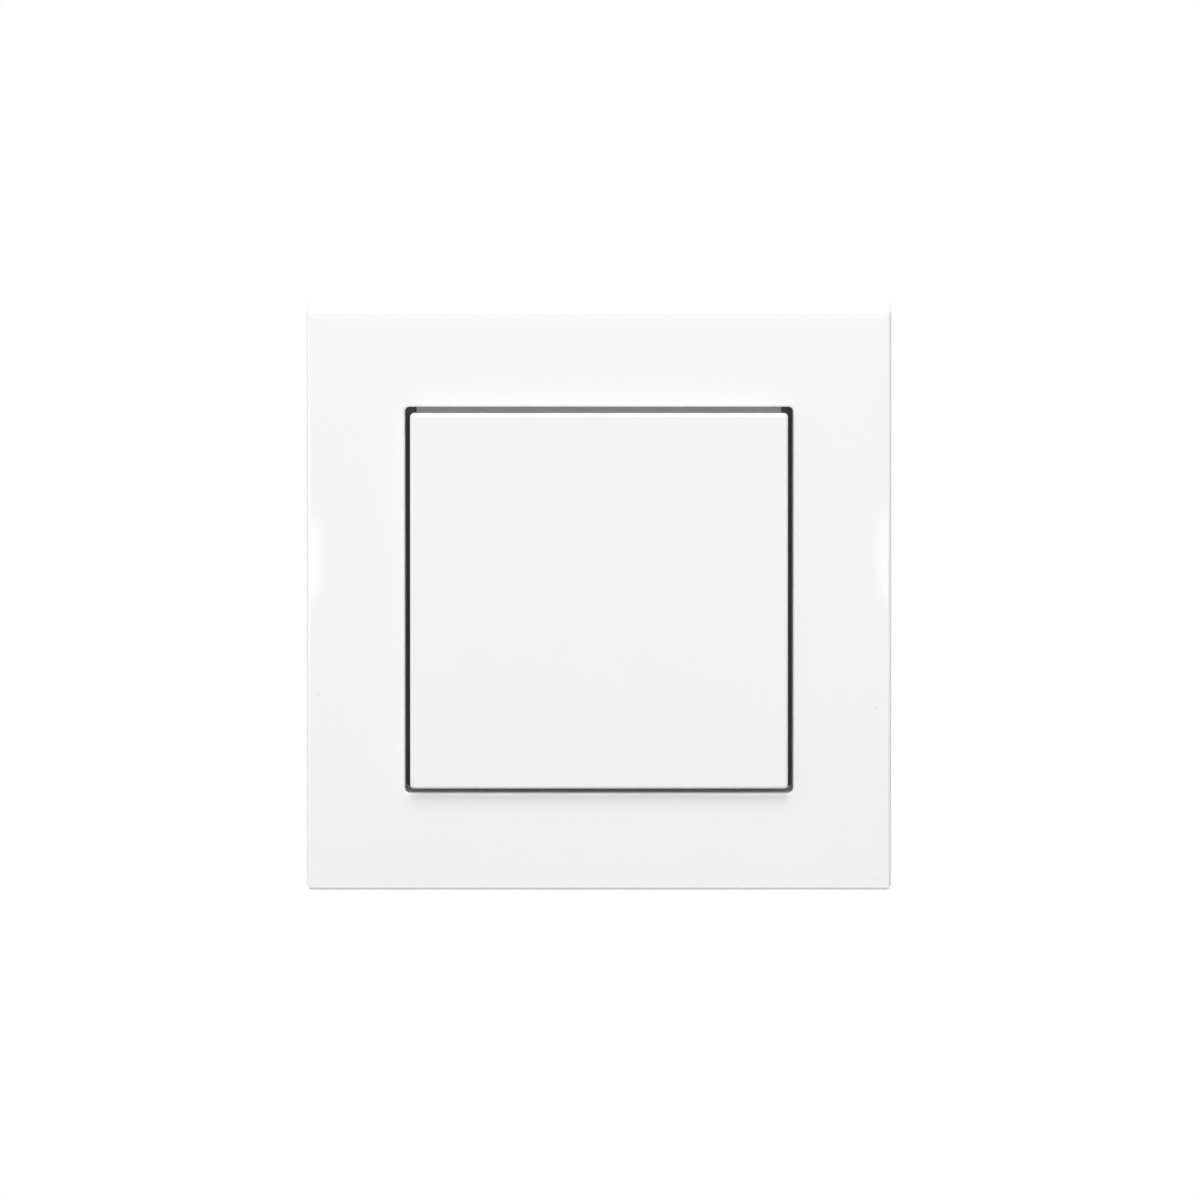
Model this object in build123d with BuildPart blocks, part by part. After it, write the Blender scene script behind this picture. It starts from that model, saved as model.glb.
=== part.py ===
from build123d import *
from math import radians, sin, sqrt
import os

os.makedirs("parts", exist_ok=True)

# Wall transmitter with one rocker, in millimetres. X runs to the right and Z up.
# The wall is the plane Y = 0, and every depth is counted from it towards the front.
wall = Plane.XZ
side = Plane.YZ

# Cover frame
frame_size = 84.0
frame_corner = 0.8
frame_edge = 0.5
frame_face = 2.2
frame_wall = 1.8
roll_width = 3.0
roll_radius = 60.0
wall_gap = 0.3
opening_size = 55.8
opening_corner = 0.7
opening_edge = 0.35
opening_wall = 1.4
ledge_width = 1.8
ledge_thick = 1.0
rim_wall = 1.2
rib_wall = 1.2
rib_spacing = 40.0

# Rocker
rocker_gap = 0.7
rocker_proud = 1.65
rocker_corner = 0.6
rocker_edge = 0.45
rocker_draft = 5.0
rocker_face = 1.8
rocker_wall = 1.4
rocker_lift = 2.0
rocker_tilt = 5.0
skirt_height = 3.2
press_rib = 1.2
press_clearance = 0.1
stiffener_wall = 1.0
stiffener_height = 1.6
stiffener_spacing = 46.0

# Hinge between rocker and module
stub_radius = 1.3
stub_length = 2.1
stub_drop = 1.6
stub_chamfer = 0.3
hinge_clearance = 0.06
clip_gap = 0.5
clip_wall = 1.4
clip_width = 5.4
clip_tail = 2.2
clip_mouth = 2.1

# Mounting plate
plate_size = 71.0
plate_thick = 2.0
plate_corner = 3.0
plate_clearance = 0.3
screw_circle = 60.0
screw_count = 4
screw_radius = 1.75
screw_head_radius = 2.9
hook_spacing = 26.0
hook_width = 6.0
hook_thick = 1.2
hook_barb = 1.3
hook_height = 2.4
hook_catch = 1.1
hook_clearance = 0.1
hook_gap = 0.35

# Fixing frame
ring_height = 4.3
ring_wall = 1.2
ring_web = 1.2
flange_thick = 0.9
ring_clearance = 0.3
flange_clearance = 0.15
flange_end = 1.5
module_space = 2.9
tab_width = 4.0
tab_overlap = 1.2
brace_wall = 1.0
brace_gap = 1.5

# Module housing
module_size = 36.0
module_height = 8.2
base_height = 4.1
module_wall = 1.0
module_corner = 1.2
ear_length = 1.9
ear_width = 5.2
ear_thick = 1.0
ear_spacing = 24.0
ear_clearance = 0.1

# Energy bows
bow_pivot_inset = 2.3
bow_pivot_rise = 1.6
bow_pin_radius = 0.8
bow_pin_length = 1.3
bow_pin_clearance = 0.05
bow_hub_radius = 0.9
arm_width = 2.0
arm_thick = 1.2
arm_rise = 0.75
arm_gap = 0.6
arm_side_gap = 0.8
slot_clearance = 0.3
bar_gap = 0.6
bar_thick = 1.6
bar_lift = 0.8
bar_round = 0.5
finger_width = 2.0
finger_thick = 0.8
finger_reach = 3.0
finger_clearance = 0.1
saddle_wall = 1.0
saddle_width = 3.2

# Circuit board and contact mat
board_thick = 0.8
board_clearance = 0.4
board_gap = 0.1
board_rise = 1.6
board_trim = 1.2
finger_room = 0.6
post_radius = 1.0
post_gap = 0.8
post_edge = 0.6
mat_thick = 0.7
mat_bridge = 2.0
nipple_radius = 1.9
nipple_edge = 2.0
nipple_lift = 1.4
nipple_hole_clearance = 0.4
nipple_bore = 1.1
nipple_roof = 1.2
nipple_chamfer = 0.5
nub_radius = 1.5
nub_clearance = 0.15

# Parts on the rear of the board
part_gap = 0.85
chip_size = 5.0
chip_thick = 0.9
crystal_width = 3.2
crystal_height = 2.5
crystal_thick = 0.8
crystal_corner = 0.4
store_width = 7.3
store_height = 4.3
store_thick = 2.8
store_chamfer = 0.35
small_width = 2.0
small_height = 1.25
small_thick = 1.0
small_pitch = 3.0
small_count = 3

# Generator
generator_rise = 3.1
armature_swing = 5.0
core_width = 10.6
core_thick = 1.2
leg_width = 2.5
yoke_width = 2.4
magnet_width = 1.7
magnet_gap = 0.2
pole_air = 0.12
pole_length = 4.5
pole_overhang = 0.2
pole_thick = 0.8
hub_width = 8.0
hub_thick = 3.2
hub_wall = 0.8
journal_radius = 0.9
journal_length = 1.3
journal_clearance = 0.05
bearing_wall = 1.1
bearing_width = 3.4
bearing_mouth = 1.5
bearing_gap = 0.1
carrier_floor = 0.7
carrier_end = 0.6
carrier_gap = 0.5
cheek_wall = 0.7
coil_gap = 1.0
coil_side_gap = 0.55
coil_flange = 0.6
coil_height = 9.6
coil_wall = 0.4
coil_recess = 0.3
coil_corner = 1.6
core_clearance = 0.3
terminal_width = 1.2
terminal_thick = 0.3
terminal_overlap = 2.0
spring_thick = 0.3
spring_wing = 2.2
spring_clearance = 1.1
spring_gap = 1.3

# Depths from the wall
floor_front = plate_thick + module_wall
ring_front = plate_thick + ring_height
ledge_front = ring_front - flange_thick
ledge_rear = ledge_front - ledge_thick
parting = plate_thick + base_height
module_front = plate_thick + module_height
module_inner = module_front - module_wall
hinge_depth = module_front - stub_drop
rocker_inner = module_front + rocker_lift
rocker_front = rocker_inner + rocker_face
skirt_rear = rocker_inner - skirt_height
frame_front = rocker_front - rocker_proud
frame_inner = frame_front - frame_face
board_front = module_inner - mat_thick
board_rear = board_front - board_thick
nipple_front = module_front + nipple_lift
bar_front = module_front + bar_lift
bow_depth = floor_front + bow_pivot_rise
generator_depth = floor_front + generator_rise
carrier_front = floor_front + carrier_floor

# Widths and heights that follow
rocker_size = opening_size - 2 * rocker_gap
ledge_opening = opening_size - 2 * ledge_width
ring_size = ledge_opening - 2 * ring_clearance
flange_size = opening_size - 2 * flange_clearance
module_window = module_size + 2 * module_space
cavity_size = module_size - 2 * module_wall
rim_size = plate_size + 2 * plate_clearance
opening_outer = opening_size + 2 * opening_wall
module_half = module_size / 2
arm_outer = cavity_size / 2 - arm_side_gap - arm_width / 2
arm_inner = arm_outer - arm_width - arm_gap
bar_inner = module_half + bar_gap
press_height = bar_inner + bar_thick / 2
bow_pivot = module_half - bow_pivot_inset
bow_swing = rocker_tilt * press_height / (press_height + bow_pivot)
hook_root = ring_size / 2 - ring_wall - hook_gap - hook_thick
hook_front = plate_thick + hook_height
hook_lip = plate_thick + hook_catch
brace_spacing = hook_spacing + hook_width + 2 * brace_gap + brace_wall
tab_rear = plate_thick + ear_thick + ear_clearance
tab_inner = module_half + ear_length - tab_overlap
tab_outer = module_window / 2 + ring_wall

# Generator between the inner arms of the two bows, with its coil by the lower wall
armature_tilt = armature_swing / 2
core_half = core_width / 2
leg_centre = core_half - leg_width / 2
leg_throw = core_half * sin(radians(armature_tilt)) + core_thick / 2
coil_centre = coil_side_gap + (coil_height - cavity_size) / 2
generator_height = coil_centre + leg_centre
carrier_half = arm_inner - arm_width / 2 - carrier_gap
magnet_half = leg_throw + pole_air
magnet_left = carrier_end - carrier_half
core_tip = magnet_left + magnet_width + magnet_gap
pole_right = magnet_left + pole_length
pole_height = core_width + 2 * pole_overhang
hub_right = carrier_half - bearing_wall - bearing_gap
core_back = hub_right - hub_wall
hub_left = core_back - yoke_width - hub_wall
coil_left = pole_right + coil_gap
coil_right = hub_left - 2 * bearing_gap - bearing_wall - terminal_width / 2
coil_length = coil_right - coil_left
spring_base = core_thick / 2
spring_end = hub_left - bearing_gap
wing_base = core_half + spring_gap
wing_span = 2 * (arm_inner - spring_clearance) - arm_width
spring_crest = spring_base + spring_thick + (wing_base + spring_wing) * sin(radians(armature_tilt))
finger_rear = generator_depth + spring_crest + finger_clearance

# Board round the generator, with its parts and posts above it
board_size = cavity_size - 2 * board_clearance
board_inner = 2 * (carrier_half + board_gap)
board_lower = board_size / 2 - board_trim
board_cut_top = generator_height + wing_base + spring_wing + board_rise
notch_width = 2 * (arm_inner + finger_room) + arm_width
notch_height = finger_width + 2 * finger_room
saddle_face = arm_inner - arm_width / 2 - slot_clearance
post_reach = saddle_face - saddle_wall - post_gap - post_radius
post_lower = board_cut_top + post_radius
post_upper = board_size / 2 - post_edge - post_radius
parts_height = (post_lower + post_upper) / 2
parts_width = store_width + chip_size + crystal_width + 2 * part_gap
store_place = (store_width - parts_width) / 2
chip_place = store_place + (store_width + chip_size) / 2 + part_gap
crystal_place = (parts_width - crystal_width) / 2
small_place = parts_height + (chip_size + small_height) / 2 + part_gap
nipple_spacing = (board_size + board_inner) / 2
nipple_pitch = 2 * (board_lower - nipple_radius - nipple_edge)


def half_turn(point, turn):
    return (turn * point[0], turn * point[1])


# Plate that is screwed to the wall, with four hooks that catch the fixing frame
with BuildPart() as mounting_plate:
    with BuildSketch(wall):
        RectangleRounded(plate_size, plate_size, plate_corner)
    extrude(amount=plate_thick)
    with Locations(wall.offset(plate_thick)):
        with PolarLocations(screw_circle / 2, screw_count):
            CounterSinkHole(screw_radius, screw_head_radius, plate_thick)
    # Windows in the plate that leave the undersides of the barbs open
    with BuildSketch(wall):
        with GridLocations(hook_spacing, 2 * (hook_root + hook_thick) + hook_barb, 2, 2):
            Rectangle(hook_width, hook_barb)
    extrude(amount=plate_thick, mode=Mode.SUBTRACT)
    for hook_x in (-hook_spacing / 2, hook_spacing / 2):
        with BuildSketch(side.offset(hook_x)):
            with BuildLine():
                Polyline(
                    (-plate_thick, hook_root),
                    (-hook_front, hook_root),
                    (-hook_front, hook_root + hook_thick),
                    (-hook_lip, hook_root + hook_thick + hook_barb),
                    (-hook_lip, hook_root + hook_thick),
                    (-plate_thick, hook_root + hook_thick),
                    close=True,
                )
            make_face()
        hook = extrude(amount=hook_width / 2, both=True)
        mirror(hook, about=Plane.XY)

mounting_plate.part.label = "mounting_plate"
export_step(mounting_plate.part, "parts/mounting_plate.step")


# Ring with an outer wall and a web: it clamps the cover frame and holds the module down
with BuildPart() as fixing_frame:
    with BuildSketch(wall.offset(plate_thick)):
        Rectangle(ring_size, ring_size)
        Rectangle(ring_size - 2 * ring_wall, ring_size - 2 * ring_wall, mode=Mode.SUBTRACT)
    extrude(amount=ring_height)
    with BuildSketch(wall.offset(ring_front - ring_web)):
        Rectangle(ring_size, ring_size)
        Rectangle(module_window, module_window, mode=Mode.SUBTRACT)
    extrude(amount=ring_web)
    # Flange on the frame's ledge, cut back along its upper and lower sides
    with BuildSketch(wall.offset(ledge_front)):
        RectangleRounded(flange_size, flange_size, opening_corner)
        Rectangle(module_window, module_window, mode=Mode.SUBTRACT)
        with GridLocations(0, (flange_size + ring_size) / 2, 1, 2):
            Rectangle(flange_size - 2 * flange_end, (flange_size - ring_size) / 2, mode=Mode.SUBTRACT)
    extrude(amount=flange_thick)
    # Windows that the barbs of the plate's hooks reach into
    with BuildSketch(wall.offset(hook_lip - hook_clearance)):
        with GridLocations(hook_spacing, ring_size - ring_wall, 2, 2):
            Rectangle(hook_width + 2 * ring_clearance, ring_wall)
    extrude(amount=hook_front - hook_lip + 2 * hook_clearance, mode=Mode.SUBTRACT)
    # Braces between the web and the wall
    brace_length = (ring_size - module_window) / 2 - ring_wall
    brace_reach = module_window + brace_length
    with BuildSketch(wall.offset(plate_thick)):
        with GridLocations(brace_spacing, brace_reach, 2, 2):
            Rectangle(brace_wall, brace_length)
        with GridLocations(brace_reach, brace_spacing, 2, 2):
            Rectangle(brace_length, brace_wall)
    extrude(amount=ring_height - ring_web)
    # Posts under the web that hold the ears of the module
    with BuildSketch(wall.offset(tab_rear)):
        with GridLocations(tab_inner + tab_outer, ear_spacing, 2, 2):
            Rectangle(tab_outer - tab_inner, tab_width)
    extrude(amount=ring_front - tab_rear)

fixing_frame.part.label = "fixing_frame"
export_step(fixing_frame.part, "parts/fixing_frame.step")


# Bar with the frame's width and its rolled-off front, used crosswise for all four sides
with BuildPart() as rolled_bar:
    with BuildSketch(Plane.XY) as bar_outline:
        with BuildLine():
            roll_drop = roll_radius - sqrt(roll_radius**2 - roll_width**2)
            flat_half = frame_size / 2 - roll_width
            corner_depth = frame_front - roll_drop
            Line((-flat_half, -frame_front), (flat_half, -frame_front))
            TangentArc((flat_half, -frame_front), (frame_size / 2, -corner_depth), tangent=(1, 0))
            Polyline(
                (frame_size / 2, -corner_depth),
                (frame_size / 2, -wall_gap),
                (-frame_size / 2, -wall_gap),
                (-frame_size / 2, -corner_depth),
            )
            TangentArc((-flat_half, -frame_front), (-frame_size / 2, -corner_depth), tangent=(-1, 0))
        make_face()
        fillet(bar_outline.vertices().group_by(Axis.Y)[1], frame_edge)
    extrude(amount=frame_size / 2, both=True)

# Moulded frame: hollow from the rear, with a ledge round its opening for the fixing frame
with BuildPart() as cover_frame:
    with BuildSketch(wall.offset(wall_gap)):
        RectangleRounded(frame_size, frame_size, frame_corner)
    extrude(amount=frame_front - wall_gap)
    add(rolled_bar.part, mode=Mode.INTERSECT)
    add(rolled_bar.part.rotate(Axis.Y, 90), mode=Mode.INTERSECT)
    with BuildSketch(wall.offset(wall_gap)):
        Rectangle(frame_size - 2 * frame_wall, frame_size - 2 * frame_wall)
        Rectangle(opening_outer, opening_outer, mode=Mode.SUBTRACT)
    extrude(amount=frame_inner - wall_gap, mode=Mode.SUBTRACT)
    with BuildSketch(wall.offset(wall_gap)):
        Rectangle(opening_outer, opening_outer)
    extrude(amount=ledge_rear - wall_gap, mode=Mode.SUBTRACT)
    with BuildSketch(wall.offset(ledge_rear)):
        Rectangle(ledge_opening, ledge_opening)
    extrude(amount=ledge_thick, mode=Mode.SUBTRACT)
    with BuildSketch(wall.offset(ledge_front)):
        RectangleRounded(opening_size, opening_size, opening_corner)
    extrude(amount=frame_front - ledge_front, mode=Mode.SUBTRACT)
    # Rim that sits round the edge of the mounting plate
    with BuildSketch(wall.offset(wall_gap)):
        Rectangle(rim_size + 2 * rim_wall, rim_size + 2 * rim_wall)
        Rectangle(rim_size, rim_size, mode=Mode.SUBTRACT)
    extrude(amount=frame_inner - wall_gap)
    # Ribs that stand on the front of the mounting plate
    rib_length = (rim_size - opening_outer) / 2
    with BuildSketch(wall.offset(plate_thick)):
        with GridLocations(rib_spacing, opening_outer + rib_length, 2, 2):
            Rectangle(rib_wall, rib_length)
        with GridLocations(opening_outer + rib_length, rib_spacing, 2, 2):
            Rectangle(rib_length, rib_wall)
    extrude(amount=frame_inner - plate_thick)
    front_face = cover_frame.faces().sort_by(Axis.Y)[0]
    fillet(front_face.inner_wires()[0].edges(), opening_edge)

cover_frame.part.label = "cover_frame"
export_step(cover_frame.part, "parts/cover_frame.step")


# Square rocker: a shallow cap with two clips that turn on the stubs of the module
with BuildPart() as rocker:
    with BuildSketch(wall.offset(rocker_front)):
        RectangleRounded(rocker_size, rocker_size, rocker_corner)
    extrude(amount=skirt_rear - rocker_front, taper=rocker_draft)
    fillet(rocker.faces().sort_by(Axis.Y)[0].edges(), rocker_edge)
    with BuildSketch(wall.offset(skirt_rear)):
        Rectangle(rocker_size - 2 * rocker_wall, rocker_size - 2 * rocker_wall)
    extrude(amount=rocker_inner - skirt_rear, mode=Mode.SUBTRACT)
    # Ribs that press the bars of the bows, and nubs over the nipples
    with BuildSketch(wall.offset(bar_front + press_clearance)):
        with GridLocations(0, 2 * press_height, 1, 2):
            Rectangle(2 * arm_outer + arm_width, press_rib)
    extrude(amount=rocker_inner - bar_front - press_clearance)
    with BuildSketch(wall.offset(nipple_front + nub_clearance)):
        with GridLocations(nipple_spacing, nipple_pitch, 2, 2):
            Circle(nub_radius)
    extrude(amount=rocker_inner - nipple_front - nub_clearance)
    # Low ribs that keep the large face flat
    with BuildSketch(wall.offset(rocker_inner - stiffener_height)):
        with GridLocations(stiffener_spacing, 0, 2, 1):
            Rectangle(stiffener_wall, rocker_size - rocker_wall)
        with GridLocations(0, stiffener_spacing, 1, 2):
            Rectangle(rocker_size - rocker_wall, stiffener_wall)
    extrude(amount=stiffener_height)
    # Clips open to the rear, so that they snap over the stubs
    with BuildSketch(side.offset(module_half + clip_gap)):
        clip_rear = hinge_depth - clip_tail
        with Locations((-(clip_rear + rocker_inner) / 2, 0)):
            Rectangle(rocker_inner - clip_rear, clip_width)
        with Locations((-hinge_depth, 0)):
            Circle(stub_radius + hinge_clearance, mode=Mode.SUBTRACT)
        with Locations((-(clip_rear + hinge_depth) / 2, 0)):
            Rectangle(clip_tail, clip_mouth, mode=Mode.SUBTRACT)
    clip = extrude(amount=clip_wall)
    mirror(clip, about=Plane.YZ)

rocker.part.label = "rocker"
export_step(rocker.part, "parts/rocker.step")


# Height of an arm's centre line at a given distance from its pivot
def arm_depth(reach):
    return bow_depth + arm_rise * reach / (bow_pivot + bar_inner)


# Depths that an arm sweeps where it passes through the wall of the module
wall_reach = bow_pivot + module_half
wall_travel = wall_reach * sin(radians(bow_swing))
slot_rear = max(arm_depth(wall_reach) - arm_thick / 2 - wall_travel - slot_clearance, floor_front)
slot_front = arm_depth(wall_reach) + arm_thick / 2 + wall_travel + slot_clearance
slot_width = arm_width + 2 * slot_clearance

# Rear shell of the module: bearings for the bows, posts for the board, ears for the fixing frame
with BuildPart() as module_base:
    with BuildSketch(wall.offset(plate_thick)):
        RectangleRounded(module_size, module_size, module_corner)
    extrude(amount=base_height)
    with BuildSketch(wall.offset(floor_front)):
        Rectangle(cavity_size, cavity_size)
    extrude(amount=base_height - module_wall, mode=Mode.SUBTRACT)
    with BuildSketch(wall.offset(plate_thick)):
        with GridLocations(module_size + ear_length, ear_spacing, 2, 2):
            Rectangle(ear_length, ear_width)
    extrude(amount=ear_thick)
    with BuildSketch(wall.offset(floor_front)):
        with Locations((0, parts_height)):
            with GridLocations(2 * post_reach, post_upper - post_lower, 2, 2):
                Circle(post_radius)
    extrude(amount=board_rear - floor_front)
    for turn in (1, -1):
        # Slots for the two arms of a bow at its free end
        with BuildSketch(wall.offset(slot_rear)):
            with Locations(
                half_turn((-arm_outer, module_half - module_wall / 2), turn),
                half_turn((arm_inner, module_half - module_wall / 2), turn),
            ):
                Rectangle(slot_width, module_wall)
        extrude(amount=parting - slot_rear, mode=Mode.SUBTRACT)
        # Saddle under the pin of the inner arm
        with BuildSketch(side.offset(turn * saddle_face)):
            with Locations((-(floor_front + bow_depth + bow_pin_radius) / 2, -turn * bow_pivot)):
                Rectangle(bow_depth + bow_pin_radius - floor_front, saddle_width)
            with Locations((-bow_depth, -turn * bow_pivot)):
                Circle(bow_pin_radius + bow_pin_clearance, mode=Mode.SUBTRACT)
            with Locations((-bow_depth - bow_pin_radius, -turn * bow_pivot)):
                Rectangle(
                    2 * bow_pin_radius,
                    2 * (bow_pin_radius + bow_pin_clearance),
                    mode=Mode.SUBTRACT,
                )
        extrude(amount=-turn * saddle_wall)
        # Groove in the wall for the pin of the outer arm
        with BuildSketch(side.offset(-turn * cavity_size / 2)):
            with Locations((-bow_depth, -turn * bow_pivot)):
                Circle(bow_pin_radius + bow_pin_clearance)
            with Locations((-(bow_depth + parting) / 2, -turn * bow_pivot)):
                Rectangle(parting - bow_depth, 2 * (bow_pin_radius + bow_pin_clearance))
        extrude(amount=-turn * (bow_pin_length - arm_side_gap + bow_pin_clearance), mode=Mode.SUBTRACT)

module_base.part.label = "module_base"
export_step(module_base.part, "parts/module_base.step")


# Front shell of the module, with the stubs of the hinge and holes for the nipples
with BuildPart() as module_cover:
    with BuildSketch(wall.offset(parting)):
        RectangleRounded(module_size, module_size, module_corner)
    extrude(amount=module_front - parting)
    with BuildSketch(wall.offset(parting)):
        Rectangle(cavity_size, cavity_size)
    extrude(amount=module_inner - parting, mode=Mode.SUBTRACT)
    with BuildSketch(wall.offset(module_inner)):
        with GridLocations(nipple_spacing, nipple_pitch, 2, 2):
            Circle(nipple_radius + nipple_hole_clearance)
    extrude(amount=module_wall, mode=Mode.SUBTRACT)
    with BuildSketch(side.offset(module_half)):
        with Locations((-hinge_depth, 0)):
            Circle(stub_radius)
    extrude(amount=stub_length)
    chamfer(module_cover.faces().sort_by(Axis.X)[-1].edges(), stub_chamfer)
    with BuildSketch(side.offset(-module_half)):
        with Locations((-hinge_depth, 0)):
            Circle(stub_radius)
    extrude(amount=-stub_length)
    chamfer(module_cover.faces().sort_by(Axis.X)[0].edges(), stub_chamfer)
    for turn in (1, -1):
        with BuildSketch(wall.offset(parting)):
            with Locations(
                half_turn((-arm_outer, module_half - module_wall / 2), turn),
                half_turn((arm_inner, module_half - module_wall / 2), turn),
            ):
                Rectangle(slot_width, module_wall)
        extrude(amount=slot_front - parting, mode=Mode.SUBTRACT)
        # Tongue that closes the pin's groove in the other shell
        groove_depth = bow_pin_length - arm_side_gap
        with BuildSketch(wall.offset(bow_depth + bow_pin_radius + bow_pin_clearance)):
            with Locations(half_turn((-(cavity_size + groove_depth) / 2, -bow_pivot), turn)):
                Rectangle(groove_depth, 2 * bow_pin_radius)
        extrude(amount=parting - bow_depth - bow_pin_radius - bow_pin_clearance)

module_cover.part.label = "module_cover"
export_step(module_cover.part, "parts/module_cover.step")


# Bow that the top of the rocker presses: two arms on pins below, one bar above
with BuildPart() as upper_bow:
    for arm_x in (-arm_outer, arm_inner):
        with BuildSketch(side.offset(arm_x)):
            with BuildLine():
                Polyline(
                    (-(bow_depth - arm_thick / 2), -bow_pivot),
                    (-(bow_depth + arm_thick / 2), -bow_pivot),
                    (-(bow_depth + arm_rise + arm_thick / 2), bar_inner),
                    (-(bow_depth + arm_rise - arm_thick / 2), bar_inner),
                    close=True,
                )
            make_face()
            with Locations((-bow_depth, -bow_pivot)):
                Circle(bow_hub_radius)
        extrude(amount=arm_width / 2, both=True)
    with BuildSketch(wall.offset(bow_depth + arm_rise - arm_thick / 2)):
        with Locations((0, press_height)):
            Rectangle(2 * arm_outer + arm_width, bar_thick)
    extrude(amount=bar_front - bow_depth - arm_rise + arm_thick / 2)
    fillet(upper_bow.faces().sort_by(Axis.Y)[0].edges().filter_by(Axis.X), bar_round)
    # Pins, one towards the middle and one towards the wall of the module
    with BuildSketch(side.offset(arm_inner - arm_width / 2)):
        with Locations((-bow_depth, -bow_pivot)):
            Circle(bow_pin_radius)
    extrude(amount=-bow_pin_length)
    with BuildSketch(side.offset(-arm_outer - arm_width / 2)):
        with Locations((-bow_depth, -bow_pivot)):
            Circle(bow_pin_radius)
    extrude(amount=-bow_pin_length)
    # Finger over the drive spring
    finger_front = finger_rear + finger_thick
    with BuildSketch(wall.offset(bow_depth)):
        with Locations((arm_inner, 0)):
            Rectangle(arm_width, finger_width)
    extrude(amount=finger_front - bow_depth)
    with BuildSketch(wall.offset(finger_rear)):
        with Locations((arm_inner - (arm_width + finger_reach) / 2, 0)):
            Rectangle(finger_reach, finger_width)
    extrude(amount=finger_thick)

upper_bow.part.label = "upper_bow"
export_step(upper_bow.part, "parts/upper_bow.step")


# The same moulding turned by half for the bottom of the rocker
with BuildPart() as lower_bow:
    add(upper_bow.part.rotate(Axis.Y, 180))

lower_bow.part.label = "lower_bow"
export_step(lower_bow.part, "parts/lower_bow.step")


# Board with legs beside the generator, notched where the fingers of the bows pass
with BuildPart() as circuit_board:
    with BuildSketch(wall.offset(board_rear)):
        with Locations((0, (board_size / 2 - board_lower) / 2)):
            Rectangle(board_size, board_size / 2 + board_lower)
        with Locations((0, (board_cut_top - board_lower) / 2)):
            Rectangle(board_inner, board_cut_top + board_lower, mode=Mode.SUBTRACT)
        Rectangle(notch_width, notch_height, mode=Mode.SUBTRACT)
    extrude(amount=board_thick)

circuit_board.part.label = "circuit_board"
export_step(circuit_board.part, "parts/circuit_board.step")


# Silicone mat on the legs of the board, with four hollow nipples
with BuildPart() as contact_mat:
    with BuildSketch(wall.offset(board_front)):
        with Locations((0, (board_size / 2 - board_lower) / 2)):
            Rectangle(board_size, board_size / 2 + board_lower)
        with Locations((0, (board_size / 2 - mat_bridge - board_lower) / 2)):
            Rectangle(board_inner, board_size / 2 - mat_bridge + board_lower, mode=Mode.SUBTRACT)
        Rectangle(notch_width, notch_height, mode=Mode.SUBTRACT)
    extrude(amount=mat_thick)
    with BuildSketch(wall.offset(board_front)):
        with GridLocations(nipple_spacing, nipple_pitch, 2, 2):
            Circle(nipple_radius)
    extrude(amount=nipple_front - board_front)
    chamfer(contact_mat.faces().group_by(Axis.Y)[0].edges(), nipple_chamfer)
    with BuildSketch(wall.offset(board_front)):
        with GridLocations(nipple_spacing, nipple_pitch, 2, 2):
            Circle(nipple_bore)
    extrude(amount=nipple_front - nipple_roof - board_front, mode=Mode.SUBTRACT)

contact_mat.part.label = "contact_mat"
export_step(contact_mat.part, "parts/contact_mat.step")


# Parts soldered to the rear of the board
with BuildPart() as radio_chip:
    with BuildSketch(wall.offset(board_rear - chip_thick)):
        with Locations((chip_place, parts_height)):
            Rectangle(chip_size, chip_size)
    extrude(amount=chip_thick)

radio_chip.part.label = "radio_chip"
export_step(radio_chip.part, "parts/radio_chip.step")

with BuildPart() as crystal:
    with BuildSketch(wall.offset(board_rear - crystal_thick)):
        with Locations((crystal_place, parts_height)):
            RectangleRounded(crystal_width, crystal_height, crystal_corner)
    extrude(amount=crystal_thick)

crystal.part.label = "crystal"
export_step(crystal.part, "parts/crystal.step")

with BuildPart() as storage_capacitor:
    with BuildSketch(wall.offset(board_rear - store_thick)):
        with Locations((store_place, parts_height)):
            Rectangle(store_width, store_height)
    extrude(amount=store_thick)
    chamfer(storage_capacitor.faces().sort_by(Axis.Y)[-1].edges(), store_chamfer)

storage_capacitor.part.label = "storage_capacitor"
export_step(storage_capacitor.part, "parts/storage_capacitor.step")

with BuildPart() as chip_capacitors:
    with BuildSketch(wall.offset(board_rear - small_thick)):
        with Locations((0, small_place)):
            with GridLocations(small_pitch, 0, small_count, 1):
                Rectangle(small_width, small_height)
    extrude(amount=small_thick)

chip_capacitors.part.label = "chip_capacitors"
export_step(chip_capacitors.part, "parts/chip_capacitors.step")


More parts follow.
